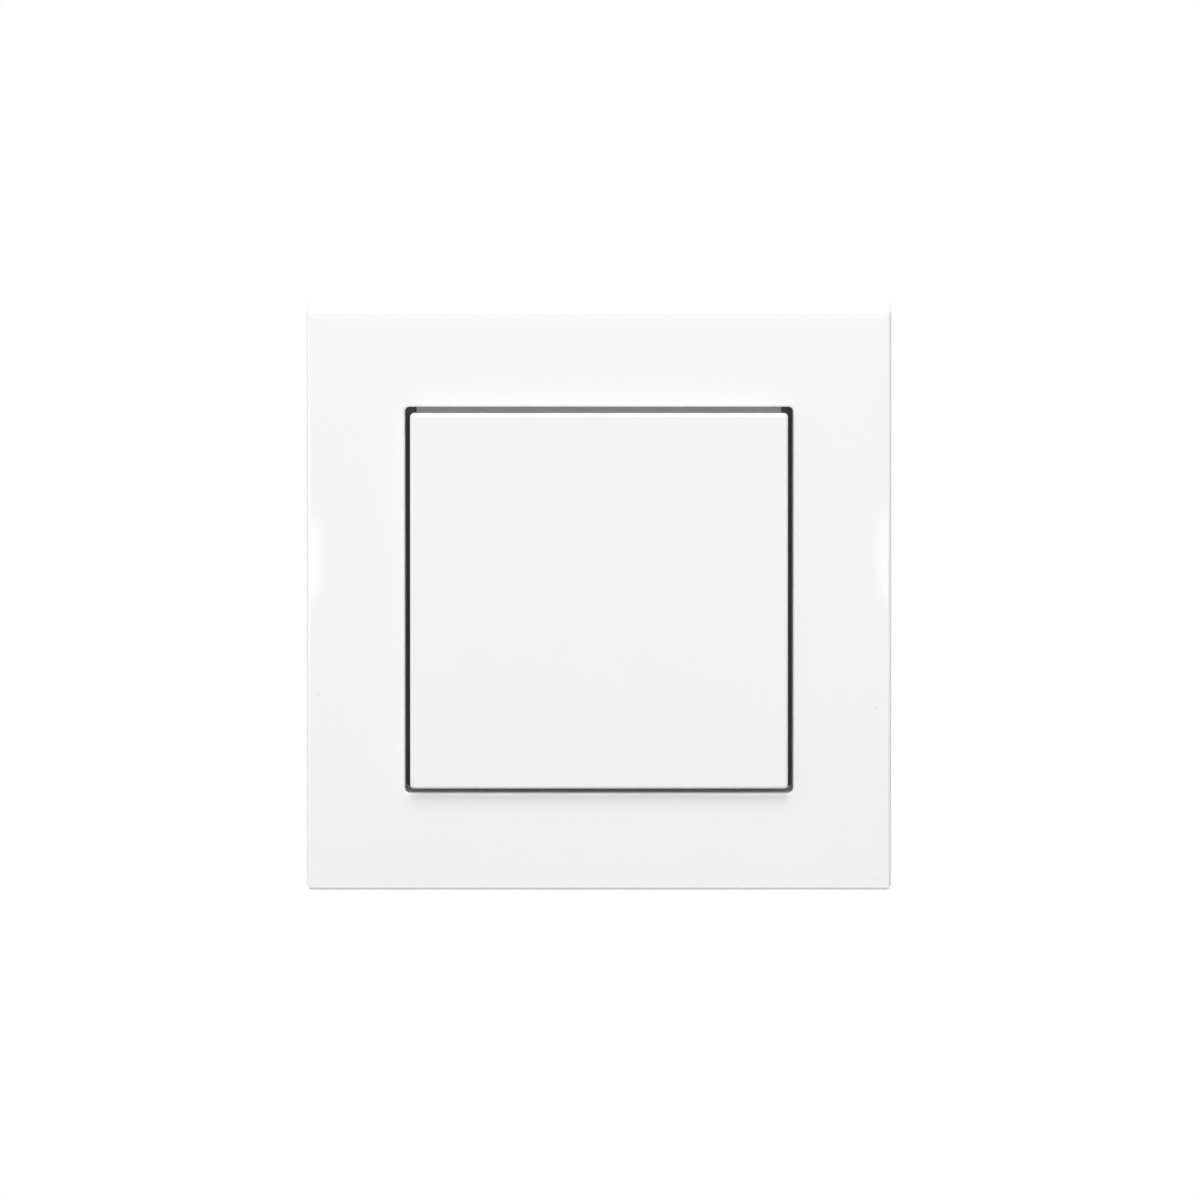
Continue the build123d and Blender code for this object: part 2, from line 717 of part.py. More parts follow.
# Moulded carrier of the generator: seat of the magnet stack and two open bearings
pole_rear = generator_depth - magnet_half - pole_thick
pole_front = generator_depth + magnet_half + pole_thick
pole_centre = (magnet_left + pole_right) / 2
with BuildPart() as generator_carrier:
    carrier_height = pole_height + 2 * cheek_wall
    with BuildSketch(wall.offset(floor_front)):
        with Locations((0, generator_height)):
            Rectangle(2 * carrier_half, carrier_height)
    extrude(amount=carrier_floor)
    with BuildSketch(wall.offset(carrier_front)):
        with Locations(((pole_right - carrier_half) / 2, generator_height)):
            Rectangle(pole_right + carrier_half, carrier_height)
    extrude(amount=pole_front - carrier_front)
    with BuildSketch(wall.offset(pole_rear)):
        with Locations((pole_centre, generator_height)):
            Rectangle(pole_length, pole_height)
    extrude(amount=pole_front - pole_rear, mode=Mode.SUBTRACT)
    for bearing_x in (hub_left - bearing_gap - bearing_wall, hub_right + bearing_gap):
        with BuildSketch(side.offset(bearing_x)):
            bearing_top = generator_depth + journal_radius + bearing_wall / 2
            with Locations((-(carrier_front + bearing_top) / 2, generator_height)):
                Rectangle(bearing_top - carrier_front, bearing_width)
            with Locations((-generator_depth, generator_height)):
                Circle(journal_radius + journal_clearance, mode=Mode.SUBTRACT)
            with Locations((-(generator_depth + bearing_top) / 2, generator_height)):
                Rectangle(bearing_top - generator_depth, bearing_mouth, mode=Mode.SUBTRACT)
        extrude(amount=bearing_wall)

generator_carrier.part.label = "generator_carrier"
export_step(generator_carrier.part, "parts/generator_carrier.step")


# Magnet between two pole plates, all three in the seat of the carrier
with BuildPart() as magnet:
    with BuildSketch(wall.offset(generator_depth - magnet_half)):
        with Locations((magnet_left + magnet_width / 2, generator_height)):
            Rectangle(magnet_width, pole_height)
    extrude(amount=2 * magnet_half)

magnet.part.label = "magnet"
export_step(magnet.part, "parts/magnet.step")

with BuildPart() as rear_pole_plate:
    with BuildSketch(wall.offset(pole_rear)):
        with Locations((pole_centre, generator_height)):
            Rectangle(pole_length, pole_height)
    extrude(amount=pole_thick)

rear_pole_plate.part.label = "rear_pole_plate"
export_step(rear_pole_plate.part, "parts/rear_pole_plate.step")

with BuildPart() as front_pole_plate:
    with BuildSketch(wall.offset(generator_depth + magnet_half)):
        with Locations((pole_centre, generator_height)):
            Rectangle(pole_length, pole_height)
    extrude(amount=pole_thick)

front_pole_plate.part.label = "front_pole_plate"
export_step(front_pole_plate.part, "parts/front_pole_plate.step")


# Coil round the lower leg of the core, which swings freely inside the bobbin
coil_middle = (coil_left + coil_right) / 2
bore_height = leg_width + 2 * core_clearance
bore_depth = 2 * leg_throw + 2 * core_clearance
flange_depth = board_front - carrier_front
flange_middle = (board_front + carrier_front) / 2
with BuildPart() as coil_bobbin:
    for flange_x in (coil_left, coil_right - coil_flange):
        with BuildSketch(side.offset(flange_x)):
            with Locations((-flange_middle, coil_centre)):
                Rectangle(flange_depth, coil_height)
        extrude(amount=coil_flange)
    with BuildSketch(side.offset(coil_left)):
        with Locations((-generator_depth, coil_centre)):
            Rectangle(bore_depth + 2 * coil_wall, bore_height + 2 * coil_wall)
    extrude(amount=coil_length)
    with BuildSketch(side.offset(coil_left)):
        with Locations((-generator_depth, coil_centre)):
            Rectangle(bore_depth, bore_height)
    extrude(amount=coil_length, mode=Mode.SUBTRACT)

coil_bobbin.part.label = "coil_bobbin"
export_step(coil_bobbin.part, "parts/coil_bobbin.step")

with BuildPart() as coil_winding:
    with BuildSketch(side.offset(coil_left + coil_flange)):
        with Locations((-flange_middle, coil_centre)):
            RectangleRounded(
                flange_depth - 2 * coil_recess,
                coil_height - 2 * coil_recess,
                coil_corner,
            )
        with Locations((-generator_depth, coil_centre)):
            Rectangle(
                bore_depth + 2 * coil_wall,
                bore_height + 2 * coil_wall,
                mode=Mode.SUBTRACT,
            )
    extrude(amount=coil_length - 2 * coil_flange)

coil_winding.part.label = "coil_winding"
export_step(coil_winding.part, "parts/coil_winding.step")

# Strips from the flanges of the bobbin to the board
with BuildPart() as coil_terminals:
    terminal_bottom = coil_centre + coil_height / 2 - terminal_overlap
    terminal_top = board_cut_top + terminal_overlap
    with BuildSketch(wall.offset(board_front)):
        with Locations((coil_middle, (terminal_bottom + terminal_top) / 2)):
            with GridLocations(coil_length - coil_flange, 0, 2, 1):
                Rectangle(terminal_width, terminal_top - terminal_bottom)
    extrude(amount=terminal_thick)

coil_terminals.part.label = "coil_terminals"
export_step(coil_terminals.part, "parts/coil_terminals.step")


# Armature, resting with its upper leg on the front pole plate
upright = Plane((0, -generator_depth, generator_height), (1, 0, 0), (0, -1, 0))
armature = upright.rotated((armature_tilt, 0, 0))

with BuildPart() as armature_core:
    with BuildSketch(armature):
        with Locations(((core_back + core_tip) / 2, 0)):
            Rectangle(core_back - core_tip, core_width)
        with Locations(((core_back - yoke_width + core_tip) / 2, 0)):
            Rectangle(core_back - yoke_width - core_tip, core_width - 2 * leg_width, mode=Mode.SUBTRACT)
    extrude(amount=core_thick / 2, both=True)

armature_core.part.label = "armature_core"
export_step(armature_core.part, "parts/armature_core.step")

with BuildPart() as armature_hub:
    with BuildSketch(armature):
        with Locations(((hub_left + hub_right) / 2, 0)):
            Rectangle(hub_right - hub_left, hub_width)
    extrude(amount=hub_thick / 2, both=True)
    add(armature_core.part, mode=Mode.SUBTRACT)
    with BuildSketch(side.offset(hub_left)):
        with Locations((-generator_depth, generator_height)):
            Circle(journal_radius)
    extrude(amount=-journal_length)
    with BuildSketch(side.offset(hub_right)):
        with Locations((-generator_depth, generator_height)):
            Circle(journal_radius)
    extrude(amount=journal_length)

armature_hub.part.label = "armature_hub"
export_step(armature_hub.part, "parts/armature_hub.step")

# Leaf spring on the upper leg, with a wing under the finger of each bow
with BuildPart() as drive_spring:
    with BuildSketch(armature.offset(spring_base)):
        with Locations(((coil_left + spring_end) / 2, core_half + (spring_gap - leg_width) / 2)):
            Rectangle(spring_end - coil_left, leg_width + spring_gap)
        with Locations((0, wing_base + spring_wing / 2)):
            Rectangle(wing_span, spring_wing)
    extrude(amount=spring_thick)

drive_spring.part.label = "drive_spring"
export_step(drive_spring.part, "parts/drive_spring.step")
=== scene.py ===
import math

import bpy
import numpy as np
from mathutils import Euler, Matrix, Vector


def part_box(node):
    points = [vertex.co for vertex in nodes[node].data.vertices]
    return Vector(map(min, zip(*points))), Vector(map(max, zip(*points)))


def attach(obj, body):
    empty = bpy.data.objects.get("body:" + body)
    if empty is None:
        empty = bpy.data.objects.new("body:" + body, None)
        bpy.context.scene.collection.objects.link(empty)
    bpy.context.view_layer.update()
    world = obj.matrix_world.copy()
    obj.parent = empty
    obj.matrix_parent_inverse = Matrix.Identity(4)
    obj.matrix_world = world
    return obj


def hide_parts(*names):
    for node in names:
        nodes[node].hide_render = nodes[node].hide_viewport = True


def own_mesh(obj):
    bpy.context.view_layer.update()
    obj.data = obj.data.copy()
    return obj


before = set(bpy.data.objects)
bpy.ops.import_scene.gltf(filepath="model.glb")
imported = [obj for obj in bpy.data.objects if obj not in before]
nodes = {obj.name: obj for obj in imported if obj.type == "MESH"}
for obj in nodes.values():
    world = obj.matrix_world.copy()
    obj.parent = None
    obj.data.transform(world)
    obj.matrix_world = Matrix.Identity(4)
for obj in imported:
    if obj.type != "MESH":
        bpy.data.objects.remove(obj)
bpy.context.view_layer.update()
scene = bpy.context.scene
scene.view_settings.view_transform = "Standard"
print("frame loaded with", len(nodes), "pieces")


class Wire:  # a socket that takes part in sums, so a finish reads like a formula
    def __init__(self, tree, socket):
        self.tree = tree
        self.socket = socket

    def math(self, operation, *terms):
        return self.tree.add("ShaderNodeMath", {"operation": operation}, dict(enumerate(terms)))

    def __add__(self, other):
        return self.math("ADD", self, other)

    def __radd__(self, other):
        return self.math("ADD", other, self)

    def __sub__(self, other):
        return self.math("SUBTRACT", self, other)

    def __rsub__(self, other):
        return self.math("SUBTRACT", other, self)

    def __mul__(self, other):
        return self.math("MULTIPLY", self, other)

    def __rmul__(self, other):
        return self.math("MULTIPLY", other, self)

    def __pow__(self, other):
        return self.math("POWER", self, other)

    def __gt__(self, other):
        return self.math("GREATER_THAN", self, other)

    def __lt__(self, other):
        return self.math("LESS_THAN", self, other)


class Tree:  # the nodes of one finish, or of the studio round the object
    def __init__(self, owner):
        owner.use_nodes = True
        self.owner = owner
        self.nodes = owner.node_tree.nodes
        self.links = owner.node_tree.links
        self.nodes.clear()

    def add(self, kind, settings=None, values=None, out=0):
        made = self.nodes.new(kind)
        for name, setting in (settings or {}).items():
            setattr(made, name, setting)
        for name, value in (values or {}).items():
            socket = made.inputs[name]
            if isinstance(value, Wire):
                self.links.new(value.socket, socket)
            elif socket.type == "RGBA":
                socket.default_value = (*value, 1)
            else:
                socket.default_value = value
        return Wire(self, made.outputs[out]) if made.outputs else None

    def blend(self, share, first, second):  # two colours, mixed by a share
        return self.add("ShaderNodeMix", {"data_type": "RGBA"}, {0: share, 6: first, 7: second}, 2)

    def noise(self, place, size, detail=2.0, rough=0.5):  # cloud of lumps about this size, in metres
        values = {"Vector": place, "Scale": 1 / size, "Detail": detail, "Roughness": rough}
        return self.add("ShaderNodeTexNoise", None, values)

    def along(self, place, axis):  # one coordinate of a place
        return self.add("ShaderNodeSeparateXYZ", None, {"Vector": place}, axis)

    def bump(self, relief, rise):  # normals of a relief, where 1 stands for this rise in metres
        return self.add("ShaderNodeBump", None, {"Strength": 1.0, "Distance": rise, "Height": relief})

    def unseen(self):  # 1 for rays that only carry light, 0 for what is seen, mirrored or seen through
        rays = ("Is Camera Ray", "Is Glossy Ray", "Is Transmission Ray")
        camera, glossy, through = (self.add("ShaderNodeLightPath", None, None, ray) for ray in rays)
        return (1 - camera) * (1 - glossy) * (1 - through)

    def finish(self, surface):
        self.add("ShaderNodeOutputMaterial", None, {"Surface": surface})
        return self.owner

    def principled(self, values):
        return self.finish(self.add("ShaderNodeBsdfPrincipled", None, values))


def newFinish(name):  # an empty finish, and the coordinates of the piece that gets it
    tree = Tree(bpy.data.materials.new(name))
    return tree, tree.add("ShaderNodeTexCoord", None, None, "Object")


def grey(level):
    return (level, level, level)


def shaded(tone, share):
    return tuple(part * share for part in tone)


def give(material, *names):  # puts a finish on carried-over pieces
    for name in names:
        mesh = nodes[name].data
        mesh.materials.clear()
        mesh.materials.append(material)


def newPiece(name, points, faces, material):  # smooth piece, its faces are lists of point numbers
    mesh = bpy.data.meshes.new(name)
    mesh.from_pydata(points.reshape(-1, 3).tolist(), [], faces)
    mesh.polygons.foreach_set("use_smooth", np.ones(len(mesh.polygons), bool))
    mesh.materials.append(material)
    made = bpy.data.objects.new(name, mesh)
    scene.collection.objects.link(made)
    return made


corners = np.array(((1, 1), (-1, 1), (-1, -1), (1, -1)))  # signs of a rectangle's corners, in turn
plasticIor = 1.5


# White moulded face: polished, with a faint cloud in the white, a trace of ripple and a few specks of dust
def whiteMoulding(name, look):
    tree, place = newFinish(name)
    cloud = tree.noise(place, look["cloudSize"])
    ripple = tree.noise(place, look["rippleSize"], detail=1.0)
    front = tree.add("ShaderNodeMapping", None, {"Vector": place, "Rotation": (math.radians(90), 0, 0)})
    settings = {"voronoi_dimensions": "2D", "feature": "F1"}
    cells = {"Vector": front, "Scale": 1 / look["dustSpacing"]}
    distance = tree.add("ShaderNodeTexVoronoi", settings, cells, "Distance")
    cellTone = tree.add("ShaderNodeTexVoronoi", settings, cells, "Color")
    pick = tree.add("ShaderNodeSeparateColor", None, {"Color": cellTone}, "Red")
    speck = (distance < look["dustSize"] / look["dustSpacing"]) * (pick > look["dustRare"])
    darkest = grey(look["white"] * (1 - look["whiteSpread"]))
    lightest = grey(look["white"] * (1 + look["whiteSpread"]))
    clean = tree.blend(cloud, darkest, lightest)
    return tree.principled({
        "Base Color": tree.blend(speck * look["dustDark"], clean, grey(look["dustTone"])),
        "Roughness": look["rough"] + (cloud - 0.5) * look["roughSpread"],
        "IOR": plasticIor,
        "Normal": tree.bump(ripple, look["rippleHeight"]),
    })


coverFrame = {
    "white": 0.89, "whiteSpread": 0.006, "rough": 0.1, "roughSpread": 0.03, "cloudSize": 0.02,
    "rippleSize": 0.004, "rippleHeight": 0.0000004,
    "dustSpacing": 0.02, "dustSize": 0.00012, "dustRare": 0.7, "dustDark": 0.25, "dustTone": 0.2,
}
give(whiteMoulding("frameWhite", coverFrame), "cover_frame")

rockerCap = {
    "white": 0.834, "whiteSpread": 0.006, "rough": 0.33, "roughSpread": 0.03, "cloudSize": 0.02,
    "rippleSize": 0.0015, "rippleHeight": 0.0000004,
    "dustSpacing": 0.02, "dustSize": 0.0001, "dustRare": 0.85, "dustDark": 0.15, "dustTone": 0.2,
}
give(whiteMoulding("rockerWhite", rockerCap), "rocker")
print("white mouldings done")

# Plain moulded plastic: flow clouds under the fine grain of the mould, which also changes the roughness
grained = {"cloudShare": 0.7, "grainShare": 0.3, "dark": 0.93, "light": 1.06, "roughSpread": 0.12}


def grainedPlastic(name, look):
    tree, place = newFinish(name)
    cloud = tree.noise(place, look["cloudSize"], detail=3.0)
    grain = tree.noise(place, look["grainSize"], rough=0.6)
    share = cloud * grained["cloudShare"] + grain * grained["grainShare"]
    darkest = shaded(look["tone"], grained["dark"])
    lightest = shaded(look["tone"], grained["light"])
    return tree.principled({
        "Base Color": tree.blend(share, darkest, lightest),
        "Roughness": look["rough"] + (grain - 0.5) * grained["roughSpread"],
        "IOR": plasticIor,
        "Normal": tree.bump(grain, look["grainHeight"]),
    })


# Near-black ring seen through the gaps round the rocker: painted shade that keeps those gaps dark
fixingFrame = {
    "tone": grey(0.05), "rough": 0.5,
    "cloudSize": 0.01, "grainSize": 0.0003, "grainHeight": 0.000006,
}
give(grainedPlastic("ringGapShadePlastic", fixingFrame), "fixing_frame")

mountingPlate = {
    "tone": grey(0.72), "rough": 0.45,
    "cloudSize": 0.012, "grainSize": 0.00035, "grainHeight": 0.000006,
}
give(grainedPlastic("platePlastic", mountingPlate), "mounting_plate")

module = {
    "tone": grey(0.42), "rough": 0.4,
    "cloudSize": 0.008, "grainSize": 0.00025, "grainHeight": 0.000005,
}
give(grainedPlastic("modulePlastic", module), "module_base", "module_cover")

bows = {
    "tone": grey(0.16), "rough": 0.5,
    "cloudSize": 0.004, "grainSize": 0.00018, "grainHeight": 0.000005,
}
give(grainedPlastic("bowPlastic", bows), "upper_bow", "lower_bow")

carrier = {
    "tone": grey(0.1), "rough": 0.42,
    "cloudSize": 0.003, "grainSize": 0.00015, "grainHeight": 0.000004,
}
give(grainedPlastic("carrierPlastic", carrier), "generator_carrier", "armature_hub")

bobbin = {
    "tone": (0.7, 0.68, 0.6), "rough": 0.38,
    "cloudSize": 0.003, "grainSize": 0.00015, "grainHeight": 0.000003,
}
give(grainedPlastic("bobbinPlastic", bobbin), "coil_bobbin")

silicone = {
    "tone": (0.2, 0.21, 0.22), "rough": 0.62, "sharpFrom": 40,
    "cloudSize": 0.006, "grainSize": 0.0001, "grainHeight": 0.000004,
}
siliconeFinish = grainedPlastic("silicone", silicone)
print("moulded plastics done")


def soft(name, points, faces):  # one piece of the contact mat
    made = newPiece(name, points, faces, siliconeFinish)
    made.data.set_sharp_from_angle(angle=math.radians(silicone["sharpFrom"]))
    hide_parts("contact_mat")
    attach(made, "housing")
    return made


# Sheet of the contact mat: half of its outline, mirrored to the other half, carried from rear to front
matSheet = {"thick": 0.0007, "bridge": 0.002, "slot": 0.0112, "notch": 0.0142, "notchHalf": 0.0016}
matLow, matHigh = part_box("contact_mat")
sheetFront = matHigh[1] - matSheet["thick"]
slot, notch, notchHalf = matSheet["slot"], matSheet["notch"], matSheet["notchHalf"]
half = np.array((
    (slot, matHigh[2] - matSheet["bridge"]), (slot, notchHalf), (notch, notchHalf), (notch, -notchHalf),
    (slot, -notchHalf), (slot, matLow[2]), (matHigh[0], matLow[2]), (matHigh[0], matHigh[2]),
))
outline = np.concatenate((half, half[::-1] * (-1, 1)))
depths = np.array((matHigh[1], sheetFront))
sheetX, sheetY, sheetZ = np.broadcast_arrays(outline[:, 0], depths[:, None], outline[:, 1])
points = np.stack((sheetX, sheetY, sheetZ), -1)
rear, front = np.arange(sheetX.size).reshape(sheetX.shape)
walls = np.stack((rear, np.roll(rear, -1), np.roll(front, -1), front), -1)
soft("matSheet", points, walls.tolist() + [front.tolist(), rear[::-1].tolist()])

# Four nipples: a profile of radius and height with a rounded rim, carried round a circle at each place.
matNipples = {
    "apart": (0.0139, 0.0115), "radius": 0.0019, "round": 0.0005, "roundSteps": 5, "sides": 40,
    "keep": 0.55,
}
tall = sheetFront - matLow[1]
bend = np.linspace(0, np.pi / 2, matNipples["roundSteps"])
rimRadius = matNipples["radius"] - matNipples["round"] * (1 - np.cos(bend))
rimHeight = tall - matNipples["round"] * (1 - np.sin(bend))
radius = np.concatenate(((matNipples["radius"],), rimRadius))
height = np.concatenate(((0,), rimHeight))
angles = np.linspace(0, 2 * np.pi, matNipples["sides"], endpoint=False)
middles = corners * matNipples["apart"]
nippleX = middles[:, 0, None, None] + radius[:, None] * np.cos(angles)
nippleY = np.broadcast_to(sheetFront - height[:, None], nippleX.shape)
nippleZ = middles[:, 1, None, None] + radius[:, None] * np.sin(angles)
points = np.stack((nippleX, nippleY, nippleZ), -1)
index = np.arange(nippleX.size).reshape(nippleX.shape)
nextSide = np.roll(index, -1, 2)
walls = np.stack((index[:, :-1], nextSide[:, :-1], nextSide[:, 1:], index[:, 1:]), -1).reshape(-1, 4)
caps = np.concatenate((index[:, -1], index[:, 0, ::-1]))
nipples = soft("matNipples", points, walls.tolist() + caps.tolist())
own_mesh(nipples)
print("contact mat done")

# Metal strip and can: fine drawn lines along one direction and clouds of dulling
drawn = {
    "dullShare": 0.6, "lineShare": 0.4, "dark": 0.82, "light": 1.12,
    "lineRough": 0.15, "dullRough": 0.2,
}


def drawnMetal(name, look):
    tree, place = newFinish(name)
    stretched = tree.add("ShaderNodeMapping", None, {"Vector": place, "Scale": look["lines"]})
    lines = tree.noise(stretched, 1.0, detail=3.0, rough=0.6)
    dull = tree.noise(place, look["dullSize"], detail=3.0)
    share = dull * drawn["dullShare"] + lines * drawn["lineShare"]
    darkest = shaded(look["tone"], drawn["dark"])
    lightest = shaded(look["tone"], drawn["light"])
    return tree.principled({
        "Base Color": tree.blend(share, darkest, lightest),
        "Metallic": 1.0,
        "Roughness": look["rough"] + (lines - 0.5) * drawn["lineRough"] + (dull - 0.5) * drawn["dullRough"],
        "Normal": tree.bump(lines, look["lineHeight"]),
    })


lineScale = {"x": (150, 9000, 9000), "z": (9000, 9000, 150)}  # lines run where the scale is small

crystalCan = {
    "tone": (0.62, 0.62, 0.6), "rough": 0.3,
    "lines": lineScale["x"], "lineHeight": 0.000001, "dullSize": 0.001,
}
give(drawnMetal("crystalCan", crystalCan), "crystal")

magnetNickel = {
    "tone": (0.7, 0.69, 0.66), "rough": 0.22,
    "lines": lineScale["z"], "lineHeight": 0.0000005, "dullSize": 0.002,
}
give(drawnMetal("magnetNickel", magnetNickel), "magnet")

softIron = {
    "tone": (0.45, 0.45, 0.46), "rough": 0.38,
    "lines": lineScale["x"], "lineHeight": 0.000001, "dullSize": 0.003,
}
give(drawnMetal("softIron", softIron), "front_pole_plate", "rear_pole_plate", "armature_core")

tinStrip = {
    "tone": (0.7, 0.7, 0.7), "rough": 0.28,
    "lines": lineScale["z"], "lineHeight": 0.0000008, "dullSize": 0.0008,
}
give(drawnMetal("tinStrip", tinStrip), "coil_terminals")

springSteel = {
    "tone": (0.56, 0.57, 0.59), "rough": 0.3,
    "lines": lineScale["z"], "lineHeight": 0.0000006, "dullSize": 0.004,
}
give(drawnMetal("springSteel", springSteel), "drive_spring")
print("metals done")

# Circuit board: green mask over traces that run in lanes, patch by patch along x or along z, and tinned vias
board = {
    "mask": (0.0108, 0.117, 0.045), "trace": (0.03, 0.22, 0.09), "weave": (0.0192, 0.208, 0.08),
    # the near-black tone at the via holes is painted shade
    "tin": (0.62, 0.62, 0.6), "paintedHoleShade": grey(0.02),
    "lane": 0.0008, "traceWidth": 0.00016, "patch": 0.005,
    "viaSpacing": 0.003, "viaSize": 0.00035, "holeShare": 0.45, "weaveSize": 0.0006, "weaveShare": 0.25,
    "rise": 0.00002, "traceRise": 0.5, "padRise": 0.5,
    "rough": 0.34, "weaveRough": 0.1, "tinSmooth": 0.1,
}
tree, place = newFinish("boardMask")
acrossBoard = tree.along(place, "X")
upBoard = tree.along(place, "Z")
boardPlace = tree.add("ShaderNodeCombineXYZ", None, {"X": acrossBoard, "Y": upBoard})
squares = {"voronoi_dimensions": "2D", "distance": "CHEBYCHEV"}
patches = {"Vector": boardPlace, "Scale": 1 / board["patch"]}
patchTone = tree.add("ShaderNodeTexVoronoi", squares, patches, "Color")
pick = tree.add("ShaderNodeSeparateColor", None, {"Color": patchTone}, "Red")
turned = pick > 0.5  # half of the patches
lane = turned * acrossBoard + (1 - turned) * upBoard
trace = lane.math("PINGPONG", lane, board["lane"] / 2) < board["traceWidth"]
vias = {"Vector": boardPlace, "Scale": 1 / board["viaSpacing"]}
via = tree.add("ShaderNodeTexVoronoi", {"voronoi_dimensions": "2D"}, vias, "Distance") * board["viaSpacing"]
pad = via < board["viaSize"]
# painted shade: the middle of each via is painted near-black in place of the hole's depth
paintedHoleShade = via < board["viaSize"] * board["holeShare"]
ring = pad * (1 - paintedHoleShade)
weave = tree.noise(place, board["weaveSize"])
masked = tree.blend(trace, board["mask"], board["trace"])
woven = tree.blend(weave * board["weaveShare"], masked, board["weave"])
plated = tree.blend(pad, woven, board["tin"])
boardFinish = tree.principled({
    "Base Color": tree.blend(paintedHoleShade, plated, board["paintedHoleShade"]),
    "Metallic": ring,
    "Roughness": board["rough"] + weave * board["weaveRough"] - ring * board["tinSmooth"],
    "Normal": tree.bump(trace * board["traceRise"] + pad * board["padRise"] - paintedHoleShade, board["rise"]),
})
give(boardFinish, "circuit_board")

# Radio chip: fine filler sparkle, and a moulded dot in one corner
chip = {
    "dark": grey(0.028), "light": grey(0.0595), "fillerSize": 0.00008,
    "dotInset": 0.0007, "dotSize": 0.0003, "rise": 0.00001, "fillerRise": 0.2,
    "rough": 0.5, "fillerRough": 0.15, "dotSmooth": 0.25,
}
chipLow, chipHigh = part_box("radio_chip")
tree, place = newFinish("chipEpoxy")
filler = tree.noise(place, chip["fillerSize"], rough=0.7)
dotPlace = (chipLow[0] + chip["dotInset"], chipHigh[1], chipHigh[2] - chip["dotInset"])
fromDot = tree.add("ShaderNodeVectorMath", {"operation": "DISTANCE"}, {0: place, 1: dotPlace}, "Value")
dot = fromDot < chip["dotSize"]
chipFinish = tree.principled({
    "Base Color": tree.blend(filler, chip["dark"], chip["light"]),
    "Roughness": chip["rough"] + filler * chip["fillerRough"] - dot * chip["dotSmooth"],
    "Normal": tree.bump(filler * chip["fillerRise"] - dot, chip["rise"]),
})
give(chipFinish, "radio_chip")

# Storage capacitor: moulded block with the bar that marks its positive end
storage = {
    "dark": (0.5332, 0.3612, 0.086), "light": (0.682, 0.462, 0.11), "speckleSize": 0.0002,
    "bar": (0.16, 0.09, 0.04), "barInset": 0.0007, "barWidth": 0.0009, "barCover": 0.8, "barSpeckle": 0.3,
    "rise": 0.000005, "rough": 0.42, "speckleRough": 0.12,
}
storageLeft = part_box("storage_capacitor")[0][0]
tree, place = newFinish("capacitorYellow")
fromBar = tree.along(place, "X") - (storageLeft + storage["barInset"])
bar = (fromBar > 0) * (fromBar < storage["barWidth"])
speckle = tree.noise(place, storage["speckleSize"], detail=3.0, rough=0.6)
moulded = tree.blend(speckle, storage["dark"], storage["light"])
printed = bar * (storage["barCover"] + speckle * storage["barSpeckle"])
storageFinish = tree.principled({
    "Base Color": tree.blend(printed, moulded, storage["bar"]),
    "Roughness": storage["rough"] + speckle * storage["speckleRough"],
    "Normal": tree.bump(speckle, storage["rise"]),
})
give(storageFinish, "storage_capacitor")

# Small capacitors: fired body between two tinned ends, repeated along x
small = {
    "dark": (0.36, 0.288, 0.208), "light": (0.5175, 0.414, 0.299), "tin": (0.627, 0.627, 0.608),
    "length": 0.002, "pitch": 0.003, "cap": 0.0004, "gritSize": 0.00012,
    "rise": 0.000006, "rough": 0.3, "gritRough": 0.1, "bodyRough": 0.2,
}
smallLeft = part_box("chip_capacitors")[0][0]
tree, place = newFinish("capacitorTan")
fromLeft = tree.along(place, "X") - smallLeft
fromEnd = fromLeft.math("FLOORED_MODULO", fromLeft + small["pitch"], small["pitch"])
body = (fromEnd > small["cap"]) * (fromEnd < small["length"] - small["cap"])
grit = tree.noise(place, small["gritSize"], detail=3.0, rough=0.6)
fired = tree.blend(grit, small["dark"], small["light"])
smallFinish = tree.principled({
    "Base Color": tree.blend(body, small["tin"], fired),
    "Metallic": 1 - body,
    "Roughness": small["rough"] + grit * small["gritRough"] + body * small["bodyRough"],
    "Normal": tree.bump(grit, small["rise"]),
})
give(smallFinish, "chip_capacitors")
print("board parts done")

# Coil winding: a closed profile of wire humps carried round a rounded rectangle.
# A point of the profile is a place along x and a depth below the outline; the outline at that depth is the
# rectangle of the corner centres plus the corner radius, less the depth, in the direction of the angle.
winding = {
    "wire": 0.00015, "steps": 6, "corner": 0.0016, "cornerSteps": 8, "thick": 0.0004, "hump": 0.00004,
    "dark": (0.6, 0.25, 0.1), "light": (0.82, 0.42, 0.2), "enamelSize": 0.0009,
    # the dark tone between the turns is painted shade in the grooves
    "groove": (0.2, 0.06, 0.02), "grooveShare": 0.7, "grooveSharp": 3,
    "rough": 0.24, "roughSpread": 0.16, "coat": 0.4,
}
coilLow, coilHigh = (np.array(corner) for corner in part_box("coil_winding"))
turns = int((coilHigh[0] - coilLow[0]) / winding["wire"])
run = np.linspace(0, 1, turns * winding["steps"] + 1)
humps = winding["hump"] * (1 - np.abs(np.sin(np.pi * turns * run)))
profileX = np.concatenate((coilLow[0] + run * (coilHigh[0] - coilLow[0]), (coilHigh[0], coilLow[0])))
profileDeep = np.concatenate((humps, (winding["thick"], winding["thick"])))
quarter = np.linspace(0, np.pi / 2, winding["cornerSteps"])
angles = (np.arange(4)[:, None] * np.pi / 2 + quarter).ravel()
signs = np.repeat(corners, winding["cornerSteps"], 0)
middle = (coilLow[1:] + coilHigh[1:]) / 2
centres = middle + signs * ((coilHigh[1:] - coilLow[1:]) / 2 - winding["corner"])
outward = np.stack((np.cos(angles), np.sin(angles)), -1)
loops = centres + (winding["corner"] - profileDeep)[:, None, None] * outward
loopX = np.broadcast_to(profileX[:, None, None], (*loops.shape[:2], 1))
points = np.concatenate((loopX, loops), -1)
index = np.arange(loopX.size).reshape(loops.shape[:2])
nextAngle = np.roll(index, -1, 1)
faces = np.stack((index, nextAngle, np.roll(nextAngle, -1, 0), np.roll(index, -1, 0)), -1).reshape(-1, 4)

